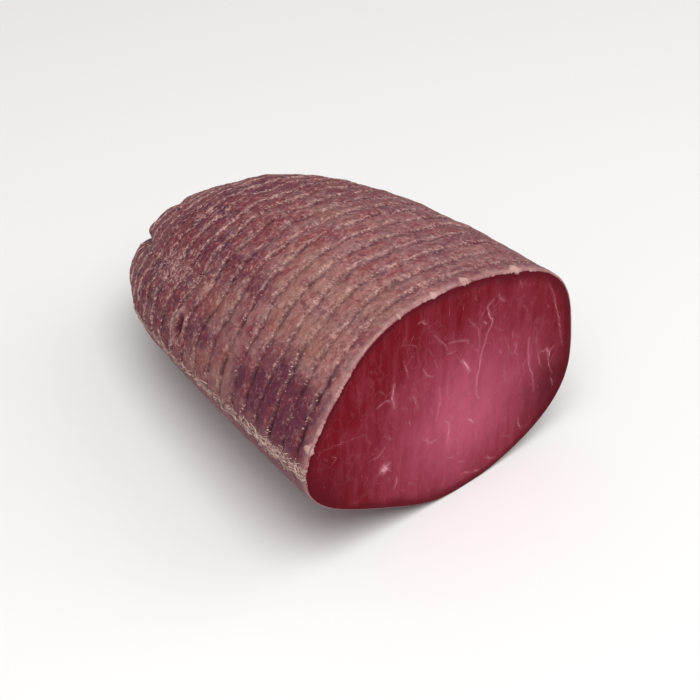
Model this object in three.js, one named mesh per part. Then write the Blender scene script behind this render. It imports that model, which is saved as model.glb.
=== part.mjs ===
// Half a bresaola: a whole muscle of beef, cured and dried in a net, cut across its thickest part.
// Millimetres, +Z up. The muscle lies along X, with the cut face at +X and the tied end at -X.
// It rests on a small flat spot. The origin is below the middle of its bounding box, on that spot.

import * as THREE from "three";
import { mergeVertices } from "three/addons/utils/BufferGeometryUtils.js";

// ---- Driving dimensions (mm) ----

const LENGTH = 181.7; // from the cut face to the tied end
const CUT_WIDTH = 140; // across the cut face
const CUT_HEIGHT = 103.6; // of the cut face, before its underside is flattened
const FLAT_DEPTH = 2.5; // how far the underside is flattened where it rests

const RIB_PITCH = 8.7; // between two hoops of the net, along the skin
const FIRST_RIB = 7; // from the cut to the first hoop's groove
const RIB_DEPTH = 0.9; // of the groove that a hoop leaves
const RIB_GROOVE = 1.5; // half width of that groove

const LOBE_COUNT = 10; // lobes that the tied end is gathered into
const LOBE_ANGLE = 143.3; // degrees, where one of the folds between them runs
const LOBE_DEPTH = 0.185; // of those folds, as a share of the radius
const LOBE_SHARPNESS = 2.5; // how narrow they are
const LOBE_START = 0.79; // share of the length where they start
const LOBE_FULL = 0.905; // and where they reach their full depth

const STRING_COUNT = 13; // strings that run the length of the net
const STRING_ANGLE = 144; // degrees, where one of them runs
const HOOP_PULL = 1.6; // how far a string pulls each hoop towards the cut
const PULL_START = 20; // mm from the cut, where the pull starts
const PULL_FULL = 90; // and where it is full
const HOOP_SAG = 7.5; // how far the hoops sag towards the tied end, low on the near side
const SAG_START = 45;
const SAG_FULL = 115;
const SAG_ANGLE = 170; // degrees, where they sag most
const SAG_SPREAD = 56; // degrees, either side of that
const LEVEL_START = 150; // mm from the cut, where the hoops start to be level again
const LEVEL_FULL = 190;

const RIDGE_ANGLE = 175.5; // degrees, where the dry pale ridge beside the resting side starts at the cut
const RIDGE_TURN = 5; // how many degrees lower it lies further on
const RIDGE_TURNED = 95; // mm from the cut, where it lies that low
const RIDGE_END = 150; // mm from the cut
const RIDGE_HEIGHT = 1.2;
const RIDGE_SPREAD = 3; // degrees
const PRESSED_ANGLE = 265; // degrees, the middle of the side that it was pressed on
const PRESSED_REACH = 88; // degrees, either side of that
const PRESSED_RELIEF = 0.3; // share of the relief that is left there

// ---- Proportions ----

// The cut face is an oval with a few broad swells. Each row is how many swells there are in one turn,
// and how much each adds to the radius sideways and upwards, as a share of the mean radius.
const SWELLS = [
  [1, 0.028, 0.062],
  [2, 0.051, -0.07],
  [3, -0.022, 0.005],
  [4, 0.009, 0.014],
  [5, -0.021, -0.012],
  [6, -0.001, -0.002],
  [7, -0.008, 0.002],
];

const NARROWING = 0.395; // how much narrower the muscle would be at the tied end
const NARROWING_POWER = 1.72;
const LOWERING = 0.477; // how much lower it would be there
const LOWERING_POWER = 2.52;
const CUT_SWELL = 0.009; // the freshly cut edge stands out by this share
const CUT_SWELL_REACH = 14; // mm
const END_START = 0.667; // where the rounded end starts, as a share of the length
const END_POWER = 2.18; // 2 is an ellipse, more is blunter
const END_ROUNDING = 0.256; // how far the section has turned into a plain oval at the end
const END_OVAL_POWER = 2.2;
const END_DRIFT = 13.1; // mm, how far the end lies to one side
const END_LIFT = 3.5; // mm
const END_LIFT_POWER = 3.4; // how late the lift comes

// ---- Fineness ----

const LOBE_STATIONS = [0, 0.1, 0.28, 0.5, 0.72, 0.9]; // between one fold and the next
const AROUND = LOBE_COUNT * LOBE_STATIONS.length;
const RIB_STATIONS = [0, 0.3, 0.7]; // between one groove and the next
const PROFILE_SAMPLES = 800;

const TURN = 2 * Math.PI;
const radians = THREE.MathUtils.degToRad;
const smooth = THREE.MathUtils.smoothstep;

// ---- Cut face ----

function swollenRadius(angle) {
  let radius = 1;
  for (const [count, sideways, upwards] of SWELLS) {
    radius += sideways * Math.cos(count * angle) + upwards * Math.sin(count * angle);
  }
  return radius;
}

// The swollen outline's extent, so that it can be fitted to the cut's width and height.
function outlineExtent() {
  const box = new THREE.Box2();
  for (let i = 0; i < PROFILE_SAMPLES; i++) {
    const angle = (i / PROFILE_SAMPLES) * TURN;
    const radius = swollenRadius(angle);
    box.expandByPoint(new THREE.Vector2(radius * Math.cos(angle), radius * Math.sin(angle)));
  }
  return box;
}

const EXTENT = outlineExtent();
const EXTENT_SIZE = EXTENT.getSize(new THREE.Vector2());
const EXTENT_MIDDLE = EXTENT.getCenter(new THREE.Vector2());

// A point of the cut face's outline, from the middle of the face.
function cutOutline(angle) {
  const radius = swollenRadius(angle);
  return new THREE.Vector2(
    ((radius * Math.cos(angle) - EXTENT_MIDDLE.x) * CUT_WIDTH) / EXTENT_SIZE.x,
    ((radius * Math.sin(angle) - EXTENT_MIDDLE.y) * CUT_HEIGHT) / EXTENT_SIZE.y,
  );
}

// The same for the plain oval that the section turns into.
function plainOval(angle) {
  const across = Math.pow(Math.abs(Math.cos(angle)) / (CUT_WIDTH / 2), END_OVAL_POWER);
  const up = Math.pow(Math.abs(Math.sin(angle)) / (CUT_HEIGHT / 2), END_OVAL_POWER);
  const radius = Math.pow(across + up, -1 / END_OVAL_POWER);
  return new THREE.Vector2(radius * Math.cos(angle), radius * Math.sin(angle));
}

// ---- Profile along the length ----

// Share of full size left by the rounded end: 1 up to END_START, then a superellipse down to 0.
function endCap(share) {
  const t = Math.max(0, (share - END_START) / (1 - END_START));
  return Math.pow(Math.max(0, 1 - Math.pow(t, END_POWER)), 1 / END_POWER);
}

function cutSwell(share) {
  return CUT_SWELL * Math.exp((-share * LENGTH) / CUT_SWELL_REACH);
}

function widthShare(share) {
  return 1 - NARROWING * Math.pow(share, NARROWING_POWER) + cutSwell(share);
}

function heightShare(share) {
  return 1 - LOWERING * Math.pow(share, LOWERING_POWER) + cutSwell(share);
}

// Distance along the skin over the top of the muscle, against the share of the length.
function skinDistances() {
  const shares = [0];
  const distances = [0];
  let previous = new THREE.Vector2(0, (CUT_HEIGHT / 2) * heightShare(0));
  for (let i = 1; i <= PROFILE_SAMPLES; i++) {
    const share = 1 - Math.pow(1 - i / PROFILE_SAMPLES, 3);
    const point = new THREE.Vector2(share * LENGTH, (CUT_HEIGHT / 2) * heightShare(share) * endCap(share));
    distances.push(distances[i - 1] + point.distanceTo(previous));
    shares.push(share);
    previous = point;
  }
  return { shares, distances };
}

const SKIN = skinDistances();
const SKIN_LENGTH = SKIN.distances[PROFILE_SAMPLES];

function shareAt(distance) {
  let i = 1;
  while (i < PROFILE_SAMPLES && SKIN.distances[i] < distance) {
    i++;
  }
  const step = (distance - SKIN.distances[i - 1]) / (SKIN.distances[i] - SKIN.distances[i - 1]);
  return THREE.MathUtils.lerp(SKIN.shares[i - 1], SKIN.shares[i], Math.min(1, step));
}

// ---- Net ----

// 0 at one of a number of even places round the section, and 1 midway between two.
function between(angle, atDegrees, count) {
  return Math.abs(Math.sin(((angle - radians(atDegrees)) * count) / 2));
}

// How far round the section an angle is from another, in degrees from 0 to 180.
function degreesApart(angle, otherDegrees) {
  const apart = Math.abs(THREE.MathUtils.radToDeg(angle) - otherDegrees) % 360;
  return Math.min(apart, 360 - apart);
}

// Hoops aren't level: strings pull them towards the cut, and low on the near side they sag.
function hoopShift(distance, angle) {
  const pull = smooth(distance, PULL_START, PULL_FULL) * Math.pow(between(angle, STRING_ANGLE, STRING_COUNT), 2);
  const nearSag = 1 - smooth(degreesApart(angle, SAG_ANGLE), 0, SAG_SPREAD);
  const sag = smooth(distance, SAG_START, SAG_FULL) * nearSag;
  return (1 - smooth(distance, LEVEL_START, LEVEL_FULL)) * (HOOP_PULL * pull + HOOP_SAG * sag);
}

// Share of the relief at an angle: full over the top, weak on the side that was pressed.
function reliefShare(angle) {
  const pressed = 1 - smooth(degreesApart(angle, PRESSED_ANGLE), PRESSED_REACH - 4, PRESSED_REACH + 4);
  return 1 - (1 - PRESSED_RELIEF) * pressed;
}

// Height of the skin over the smooth form, in mm.
function relief(hoop, distance, angle) {
  const toGroove = Math.abs(hoop - Math.round(hoop)) * RIB_PITCH;
  const groove = hoop > -0.5 ? Math.exp(-Math.pow(toGroove / RIB_GROOVE, 2)) : 0;
  const atTie = 1 - smooth(distance, SKIN_LENGTH - 20, SKIN_LENGTH);
  const ridgeAngle = RIDGE_ANGLE + RIDGE_TURN * smooth(distance, 0, RIDGE_TURNED);
  const ridge = Math.exp(-Math.pow(degreesApart(angle, ridgeAngle) / RIDGE_SPREAD, 2));
  const ridgeReach = 1 - smooth(distance, RIDGE_TURNED, RIDGE_END);
  return RIDGE_HEIGHT * ridge * ridgeReach - RIB_DEPTH * groove * reliefShare(angle) * atTie;
}

// ---- Skin ----

// A point of the skin. hoop counts hoops from the first groove, and angle goes round from +Y to +Z.
function skinPoint(hoop, angle) {
  const level = FIRST_RIB + hoop * RIB_PITCH;
  const distance = Math.min(level + hoopShift(level, angle), SKIN_LENGTH);
  const share = shareAt(distance);
  const section = cutOutline(angle).lerp(plainOval(angle), END_ROUNDING * share);
  const fold = Math.pow(1 - between(angle, LOBE_ANGLE, LOBE_COUNT), LOBE_SHARPNESS);
  const lobes = LOBE_DEPTH * smooth(share, LOBE_START, LOBE_FULL) * (fold - 0.25);
  const cap = endCap(share);
  const height = relief(hoop, distance, angle) * Math.min(1, cap * 2);
  const size = (1 - lobes) * (1 + height / section.length());
  const rise = section.y * heightShare(share) * cap * size;
  const middle = (CUT_HEIGHT / 2) * heightShare(share) + END_LIFT * Math.pow(share, END_LIFT_POWER) - FLAT_DEPTH;
  return new THREE.Vector3(
    -share * LENGTH,
    END_DRIFT * share + section.x * widthShare(share) * cap * size,
    Math.max(0, middle + rise),
  );
}

// Rings of the skin, from the cut to the tied end: at each groove and twice between grooves.
function ringHoops() {
  const hoops = [-FIRST_RIB / RIB_PITCH, -0.4];
  const last = (SKIN_LENGTH - FIRST_RIB) / RIB_PITCH;
  for (let hoop = 0; hoop < last; hoop++) {
    for (const station of RIB_STATIONS) {
      if (hoop + station < last - 0.25) {
        hoops.push(hoop + station);
      }
    }
  }
  return hoops;
}

function muscleGeometry() {
  const hoops = ringHoops();
  const positions = [];
  for (const hoop of hoops) {
    for (let lobe = 0; lobe < LOBE_COUNT; lobe++) {
      for (const station of LOBE_STATIONS) {
        const angle = radians(LOBE_ANGLE) + ((lobe + station) / LOBE_COUNT) * TURN;
        positions.push(...skinPoint(hoop, angle));
      }
    }
  }
  const faceMiddle = positions.length / 3;
  positions.push(0, 0, CUT_HEIGHT / 2 - FLAT_DEPTH);
  const tie = faceMiddle + 1;
  positions.push(...skinPoint((SKIN_LENGTH - FIRST_RIB) / RIB_PITCH, 0));

  const faces = [];
  const lastRing = (hoops.length - 1) * AROUND;
  for (let j = 0; j < AROUND; j++) {
    const next = (j + 1) % AROUND;
    faces.push(faceMiddle, j, next);
    faces.push(tie, lastRing + next, lastRing + j);
    for (let ring = 0; ring < lastRing; ring += AROUND) {
      faces.push(ring + j, ring + AROUND + j, ring + AROUND + next);
      faces.push(ring + j, ring + AROUND + next, ring + next);
    }
  }

  const geometry = new THREE.BufferGeometry();
  geometry.setAttribute("position", new THREE.Float32BufferAttribute(positions, 3));
  geometry.setIndex(faces);
  return mergeVertices(geometry);
}

// Moves a geometry so that the origin is below the middle of its bounding box.
function centred(geometry) {
  geometry.computeBoundingBox();
  const middle = geometry.boundingBox.getCenter(new THREE.Vector3());
  geometry.translate(-middle.x, -middle.y, -geometry.boundingBox.min.z);
  geometry.computeVertexNormals();
  return geometry;
}

const curedMeat = new THREE.MeshStandardMaterial({ color: 0x84525a, roughness: 0.65, metalness: 0 });

const muscle = new THREE.Mesh(centred(muscleGeometry()), curedMeat);
muscle.name = "bresaola";

const bresaola = new THREE.Group();
bresaola.add(muscle);

export default bresaola;
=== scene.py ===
"""Half a bresaola: a whole muscle of beef, cured and dried in a net, cut across its thickest part.

The skin and the cut face are surfaces of two numbers: the distance along the skin from the cut, and the
angle round the section, from +Y towards +Z. Lengths are in millimetres and angles in degrees, in the frame
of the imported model, unless a comment says otherwise.
"""

import math
from types import SimpleNamespace

import bpy
import numpy as np
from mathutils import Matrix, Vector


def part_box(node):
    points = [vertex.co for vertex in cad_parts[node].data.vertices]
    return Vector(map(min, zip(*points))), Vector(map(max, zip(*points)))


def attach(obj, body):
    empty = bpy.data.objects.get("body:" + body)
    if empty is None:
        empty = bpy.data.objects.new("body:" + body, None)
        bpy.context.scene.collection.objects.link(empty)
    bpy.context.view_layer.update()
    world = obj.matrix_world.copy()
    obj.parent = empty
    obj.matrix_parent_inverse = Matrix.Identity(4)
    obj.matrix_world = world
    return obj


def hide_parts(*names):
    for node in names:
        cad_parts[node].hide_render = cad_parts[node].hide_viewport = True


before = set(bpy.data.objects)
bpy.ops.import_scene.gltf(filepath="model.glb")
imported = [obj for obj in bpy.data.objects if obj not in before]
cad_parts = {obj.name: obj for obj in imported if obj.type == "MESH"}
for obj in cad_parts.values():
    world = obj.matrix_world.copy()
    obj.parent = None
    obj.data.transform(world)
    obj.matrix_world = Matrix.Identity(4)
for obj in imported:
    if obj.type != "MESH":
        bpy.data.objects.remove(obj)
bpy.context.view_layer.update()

bl_info = {
    "name": "Half bresaola",
    "version": (1, 0, 0),
    "blender": (4, 5, 0),
    "location": "View3D > Sidebar > Bresaola",
    "description": "Builds half a cured and dried muscle of beef round its packed model",
    "category": "Object",
}

MM = 0.001
NODE = "bresaola"
BODY = "root"

# ---- The muscle's form, as in its solid ----

LOW, HIGH = (np.array(corner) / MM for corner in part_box(NODE))
LENGTH = HIGH[0] - LOW[0]
CUT_X = HIGH[0]
CUT_WIDTH = 140.0
CUT_HEIGHT = 103.6
FLAT_DEPTH = 2.5  # how much of the underside is pressed flat
SIDE_SHIFT = 0.456  # how far the middle of the cut lies from the middle of the bounding box

RIB_PITCH = 8.7
FIRST_RIB = 7.0  # from the cut
STRING_COUNT, STRING_ANGLE = 13, 144.0
LOBE_COUNT, LOBE_ANGLE = 10, 143.3
LOBE_DEPTH, LOBE_SHARPNESS = 0.185, 2.5
LOBE_START, LOBE_FULL = 0.79, 0.905
HOOP_PULL, PULL_START, PULL_FULL = 1.6, 20.0, 90.0
HOOP_SAG, SAG_START, SAG_FULL = 7.5, 45.0, 115.0
SAG_ANGLE, SAG_SPREAD = 170.0, 56.0
LEVEL_START, LEVEL_FULL = 150.0, 190.0  # where the hoops become level again
PRESSED_ANGLE, PRESSED_RELIEF = 265.0, 0.3
PRESSED_REACH, PRESSED_END = 78.0, 86.0  # how far each way the pressed side reaches, and where it ends

# The outline's swells: how many there are in one turn, and what they add as its cosine and as its sine.
SWELLS = (
    (1, 0.028, 0.062),
    (2, 0.051, -0.07),
    (3, -0.022, 0.005),
    (4, 0.009, 0.014),
    (5, -0.021, -0.012),
    (6, -0.001, -0.002),
    (7, -0.008, 0.002),
)
NARROWING, NARROWING_POWER = 0.395, 1.72
LOWERING, LOWERING_POWER = 0.477, 2.52
CUT_SWELL, CUT_SWELL_REACH = 0.009, 14.0
END_START, END_POWER = 0.667, 2.18
END_ROUNDING, END_OVAL_POWER = 0.256, 2.2
END_DRIFT, END_LIFT, END_LIFT_POWER = 13.1, 3.5, 3.4
PROFILE_SAMPLES = 800
REST_ROUNDING = 3.5  # how softly the skin turns into the flat strip that it rests on
REST_GAP = (math.hypot(FLAT_DEPTH, REST_ROUNDING) - FLAT_DEPTH) / 2

# ---- Fineness ----

AROUND = 468
# Rows of the grid between two hoops.
BAND_STATIONS = (0.0, 0.05, 0.11, 0.19, 0.31, 0.48, 0.66, 0.82, 0.94)
LIP_ROWS = (0.0, 0.25, 0.6, 1.1)  # from the cut
FACE_RINGS = 110

# ---- Places on the skin, seen in the photograph ----

# Patches: distance from the cut, angle, and reach along and round in mm.
OCHRE_PATCHES = (
    (10, 113, 14, 7),
    (30, 117, 16, 7),
    (50, 114, 14, 6),
    (26, 134, 14, 8),
    (41, 138, 9, 6),
    (76, 146, 9, 6),
    (60, 167, 6, 11),
    (72, 171, 7, 7),
    (84, 174, 6, 6),
    (72, 90, 9, 5),
    (46, 127, 10, 6),
    (92, 143, 8, 5),
)
DARK_PATCHES = (
    (16, 158, 12, 11),
    (33, 159, 12, 11),
    (48, 163, 9, 8),
    (28, 150, 16, 5),
    (60, 131, 9, 6),
    (82, 131, 12, 6),
    (104, 132, 10, 8),
    (76, 161, 8, 7),
    (94, 166, 12, 9),
    (108, 172, 10, 8),
    (122, 108, 14, 10),
    (124, 156, 12, 8),
    (136, 160, 9, 9),
    (146, 152, 10, 10),
    (148, 118, 16, 14),
    (118, 98, 8, 8),
    (160, 90, 18, 16),
    (170, 130, 16, 20),
)
RED_PATCHES = (
    (62, 106, 10, 7),
    (84, 108, 16, 8),
    (82, 148, 8, 6),
    (108, 104, 12, 8),
    (96, 168, 7, 6),
    (122, 132, 10, 8),
    (136, 128, 12, 10),
    (72, 172, 6, 5),
)
ROSETTE = (117.0, 146.0, 9.0, 8.0)  # a pale speckled spot
PIT_SHARE, PIT_ANGLE = 0.53, 164.5  # share of the length, and angle
PIT_ALONG, PIT_ROUND, PIT_DEPTH = 3.6, 5.2, 2.4
RIDGE_ANGLE = 175.5  # at the cut
RIDGE_TURN = 5.0  # how many degrees lower it lies from RIDGE_TURNED mm on
RIDGE_TURNED = 95.0
RIDGE_SPREAD = 2.0
BAND_FADE, BAND_END = 240.0, 268.0  # where the smooth band under the ridge passes into the resting side
TIE_HOLLOW, TIE_SPREAD = 4.0, 9.0  # depth and reach of the gathered middle of the tied end

# ---- Camera (metres and degrees) ----

CAMERA_LENS = 105.95
CAMERA_SENSOR = 36.0
CAMERA_PLACE = (0.51674, -0.43601, 0.53186)
CAMERA_ELEVATION = 37.0
CAMERA_AZIMUTH = 47.682


def linear(code):
    """A hex sRGB colour as linear RGBA."""
    channels = [int(code[i : i + 2], 16) / 255 for i in (1, 3, 5)]
    return tuple(c / 12.92 if c <= 0.04045 else ((c + 0.055) / 1.055) ** 2.4 for c in channels) + (1.0,)


# ---- Small functions of arrays ----


def smooth(x, low, high):
    """0 below low, 1 above high, and 3t^2 - 2t^3 between."""
    t = np.clip((x - low) / (high - low), 0, 1)
    return t * t * (3 - 2 * t)


def turn_from(angle, other):
    """How far round the section an angle is past another, from -180 to 180."""
    return (angle - other + 180) % 360 - 180


def degrees_apart(angle, other):
    return np.abs(turn_from(angle, other))


def bell(x):
    """exp(-x^2)."""
    return np.exp(-np.square(x))


def noise(along, angle, cell, seed, stretch=1.0):
    """Random values from -1 to 1 at the corners of cells on the skin, blended smoothly between them.

    A cell is cell mm along the muscle and cell * stretch mm round the cut, and the cells close round it."""
    round_cells = max(3, round(CUT_GIRTH / (cell * stretch)))
    rows = int(SKIN_LENGTH / cell) + 6
    corners = np.random.default_rng(seed).uniform(-1, 1, (rows, round_cells))
    u = np.clip(along / cell + 2, 0, rows - 2)
    v = (angle / 360 % 1) * round_cells
    i, j = u.astype(int), v.astype(int) % round_cells
    a, b = (t * t * (3 - 2 * t) for t in (u - np.floor(u), v - np.floor(v)))
    k = (j + 1) % round_cells
    near = corners[i, j] * (1 - b) + corners[i, k] * b
    far = corners[i + 1, j] * (1 - b) + corners[i + 1, k] * b
    return near * (1 - a) + far * a


def layered(along, angle, *layers):
    """A sum of noises: each layer is an amount, then the cell, seed and stretch of its noise."""
    return sum(amount * noise(along, angle, *layer) for amount, *layer in layers)


def unit(vectors):
    return vectors / np.maximum(np.linalg.norm(vectors, axis=-1, keepdims=True), 1e-9)


# ---- The smooth form ----


def swollen_outline(angle):
    """radius = 1 + sum of (a cos k angle + b sin k angle) over SWELLS, as points."""
    turn = np.radians(angle)
    radius = 1 + sum(a * np.cos(k * turn) + b * np.sin(k * turn) for k, a, b in SWELLS)
    return np.stack([radius * np.cos(turn), radius * np.sin(turn)], -1)


def cut_outline(angle):
    """The swollen outline, fitted to the cut's width and height about its middle."""
    whole = swollen_outline(np.linspace(0, 360, PROFILE_SAMPLES, endpoint=False))
    low, high = whole.min(0), whole.max(0)
    return (swollen_outline(angle) - (low + high) / 2) * (CUT_WIDTH, CUT_HEIGHT) / (high - low)


def plain_oval(angle):
    """|y / a|^p + |z / b|^p = 1, the oval that the section turns into towards the tied end."""
    turn = np.radians(angle)
    across = np.abs(np.cos(turn) * 2 / CUT_WIDTH) ** END_OVAL_POWER
    up = np.abs(np.sin(turn) * 2 / CUT_HEIGHT) ** END_OVAL_POWER
    radius = (across + up) ** (-1 / END_OVAL_POWER)
    return np.stack([radius * np.cos(turn), radius * np.sin(turn)], -1)


def end_cap(share):
    """1 up to END_START, then the superellipse t^p + y^p = 1 down to 0 at the tied end."""
    t = np.clip((share - END_START) / (1 - END_START), 0, 1)
    return np.maximum(0, 1 - t**END_POWER) ** (1 / END_POWER)


def cut_swell(share):
    return CUT_SWELL * np.exp(-share * LENGTH / CUT_SWELL_REACH)


def width_share(share):
    return 1 - NARROWING * share**NARROWING_POWER + cut_swell(share)


def height_share(share):
    return 1 - LOWERING * share**LOWERING_POWER + cut_swell(share)


def skin_profile():
    """Shares of the length, and the distance along the top of the skin at each."""
    share = 1 - (1 - np.linspace(0, 1, PROFILE_SAMPLES + 1)) ** 3
    height = CUT_HEIGHT / 2 * height_share(share) * end_cap(share)
    steps = np.hypot(np.diff(share * LENGTH), np.diff(height))
    return share, np.concatenate([[0], np.cumsum(steps)])


SHARES, DISTANCES = skin_profile()
SKIN_LENGTH = DISTANCES[-1]
CUT_GIRTH = np.linalg.norm(np.diff(cut_outline(np.linspace(0, 360, 721)), axis=0), axis=1).sum()


def distance_at(share):
    return np.interp(share, SHARES, DISTANCES)


def between(angle, at, count):
    """|sin|, which is 0 at one of count even places round the section, and 1 midway between two."""
    return np.abs(np.sin(np.radians((angle - at) * count / 2)))


def ridge_angle(distance):
    return RIDGE_ANGLE + RIDGE_TURN * smooth(distance, 0, RIDGE_TURNED)


def hoop_level(hoop):
    """How far from the cut a hoop lies where nothing pulls it."""
    return FIRST_RIB + hoop * RIB_PITCH


def hoop_at(level):
    return (level - FIRST_RIB) / RIB_PITCH


LAST_HOOP = hoop_at(SKIN_LENGTH)


def pressed_side(angle):
    """1 on the side that it was pressed on as it dried, 0 off it."""
    return 1 - smooth(degrees_apart(angle, PRESSED_ANGLE), PRESSED_REACH, PRESSED_END)


def hoop_distance(hoop, angle):
    """The distance from the cut of a hoop at an angle: strings pull it, and it sags low on the near side."""
    level = hoop_level(hoop)
    pull = smooth(level, PULL_START, PULL_FULL) * between(angle, STRING_ANGLE, STRING_COUNT) ** 2
    sag = smooth(level, SAG_START, SAG_FULL) * (1 - smooth(degrees_apart(angle, SAG_ANGLE), 0, SAG_SPREAD))
    shift = (1 - smooth(level, LEVEL_START, LEVEL_FULL)) * (HOOP_PULL * pull + HOOP_SAG * sag)
    wander = smooth(level, 2, 14) * (1 - smooth(level, 170, 195))
    shift += wander * layered(level + 0 * angle, angle, (0.55, RIB_PITCH, 11, 2.2), (0.2, 4, 12))
    return np.minimum(level + shift, SKIN_LENGTH)


def smooth_form(distance, angle):
    """The cut's outline, which turns to a plain oval and gets smaller, lower and lobed along the muscle."""
    share = np.interp(distance, DISTANCES, SHARES)
    turned = (END_ROUNDING * share)[..., None]
    section = cut_outline(angle) * (1 - turned) + plain_oval(angle) * turned
    lobes = (1 - between(angle, LOBE_ANGLE, LOBE_COUNT)) ** LOBE_SHARPNESS - 0.25
    size = end_cap(share) * (1 - LOBE_DEPTH * smooth(share, LOBE_START, LOBE_FULL) * lobes)
    middle = CUT_HEIGHT / 2 * height_share(share) + END_LIFT * share**END_LIFT_POWER - FLAT_DEPTH
    x = CUT_X - share * LENGTH
    y = SIDE_SHIFT + END_DRIFT * share + section[..., 0] * width_share(share) * size
    z = middle + section[..., 1] * height_share(share) * size
    return np.stack([x, y, z], -1), share


def rested(z):
    """(z + hypot(z, r)) / 2, less what that leaves at the lowest place: z well up, and 0 at its lowest."""
    under = REST_GAP * (1 - smooth(z, -FLAT_DEPTH, 3))
    return np.maximum(0, (z + np.hypot(z, REST_ROUNDING)) / 2 - under)


def grid_normals(points):
    """Outward unit normals of a grid with rows from the cut to the tie, and columns that close round."""
    along = np.gradient(points, axis=0)
    around = np.roll(points, -1, 1) - np.roll(points, 1, 1)
    normal = np.cross(along, around)
    length = np.linalg.norm(normal, axis=-1, keepdims=True)
    normal /= np.maximum(length, 1e-9)
    normal[length[..., 0] < 1e-6] = (-1, 0, 0)
    return normal


# ---- The skin ----


def patch(distance, angle, places):
    """The greatest of several soft oval spots, each exp(-(along / reach)^2 - (round / reach)^2)."""
    spots = []
    for at, at_angle, reach_along, reach_round in places:
        around = turn_from(angle, at_angle) * CUT_GIRTH / 360 * (1 - 0.35 * at / SKIN_LENGTH)
        spots.append(np.exp(-(((distance - at) / reach_along) ** 2) - (around / reach_round) ** 2))
    return np.maximum.reduce(spots)


def skin_lines():
    """The hoop numbers of the grid's rows, from the cut to the tie, and the angles of its columns."""
    lip = hoop_at(np.array(LIP_ROWS))
    bands = (np.arange(-1, math.ceil(LAST_HOOP))[:, None] + np.array(BAND_STATIONS)).ravel()
    bands = bands[(bands > lip[-1] + 0.08) & (bands < LAST_HOOP - 0.04)]
    hoops = np.concatenate([lip, bands, [LAST_HOOP]])
    return hoops, PRESSED_ANGLE + np.arange(AROUND) * 360 / AROUND


def skin_site(hoop, angle):
    """Points of the smooth form, and where each one lies on the muscle."""
    distance = hoop_distance(hoop, angle)
    base, share = smooth_form(distance, angle)
    return base, SimpleNamespace(
        hoop=hoop,
        angle=angle,
        distance=distance,
        share=share,
        pressed=pressed_side(angle),
        towards_tie=smooth(share, 0.25, 0.6),
        before_tie=1 - smooth(distance, SKIN_LENGTH - 16, SKIN_LENGTH - 2),
        low_side=bell(degrees_apart(angle, 166) / 24) * (1 - smooth(share, 0.4, 0.6)),
    )


def net_marks(sizes, at):
    """What the net left: its groove, the raised wall, the wide imprint, the rib's crown, and how strong."""
    wobble = layered(at.distance, at.angle, (0.55, 4.5, 23, 1.3), (0.25, 1.8, 24))
    to_groove = (at.hoop - np.round(at.hoop)) * RIB_PITCH + wobble
    band = at.hoop - np.floor(at.hoop)
    real = (at.hoop > -0.5) * at.before_tie
    ribs = (1 - (1 - PRESSED_RELIEF) * at.pressed) * at.before_tie
    far_top = bell(degrees_apart(at.angle, 45) / 26) * (1 - smooth(at.share, 0.1, 0.4))
    broken = 0.6 + layered(at.distance, at.angle, (0.7, 7, 21, 1.2), (0.6, 2.6, 22))
    thread = 0.6 + layered(at.distance, at.angle, (0.8, 5, 54, 1.5), (0.5, 1.7, 57, 1.3))
    return {
        "to_groove": to_groove,
        "groove": bell(to_groove / sizes.groove_width) * real,
        "wall": bell((to_groove - 1.0) / 0.6) * real,
        "imprint": bell((to_groove - 0.6) / 1.9) * real,
        "crown": np.sqrt(np.clip(4 * band * (1 - band), 0, 1)) * at.before_tie * (at.hoop > -0.8),
        "ribs": ribs * (1 - 0.35 * far_top),
        "broken": np.clip(broken, 0.05, 1.5),
        "thread": np.clip(thread, 0, 1.3),
    }


def ridge_marks(at):
    """The dried ridge, its crumbs, and the smooth band below it."""
    past = at.angle - ridge_angle(at.distance)
    wander = layered(at.distance, 0 * at.angle, (0.8, 22, 31), (0.5, 5, 34))
    spread = RIDGE_SPREAD * (1 - 0.55 * smooth(at.share, 0.1, 0.7))
    return {
        "ridge": bell((past - wander) / spread) * (1 - 0.7 * smooth(at.share, 0.1, 0.6)),
        "crumbs": layered(at.distance, at.angle, (0.6, 1.6, 32), (0.6, 3.2, 33, 0.5)),
        "below": smooth(past, 0, 5) * (at.angle < 270) * (1 - smooth(at.angle, BAND_FADE, BAND_END)),
    }


def pit_marks(at):
    """The pit low on the near side, and the rim that stands round it."""
    along = (at.distance - distance_at(PIT_SHARE)) / PIT_ALONG
    around = (at.angle - PIT_ANGLE) * CUT_GIRTH / 360 * 0.8 / PIT_ROUND
    reach = np.hypot(along, around)
    rim = bell((reach - 1.15) / 0.22) * (0.6 + 0.4 * np.tanh(along * 2))
    return {"pit": 1 - smooth(reach, 0.35, 1.0), "pit_rim": rim}


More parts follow.
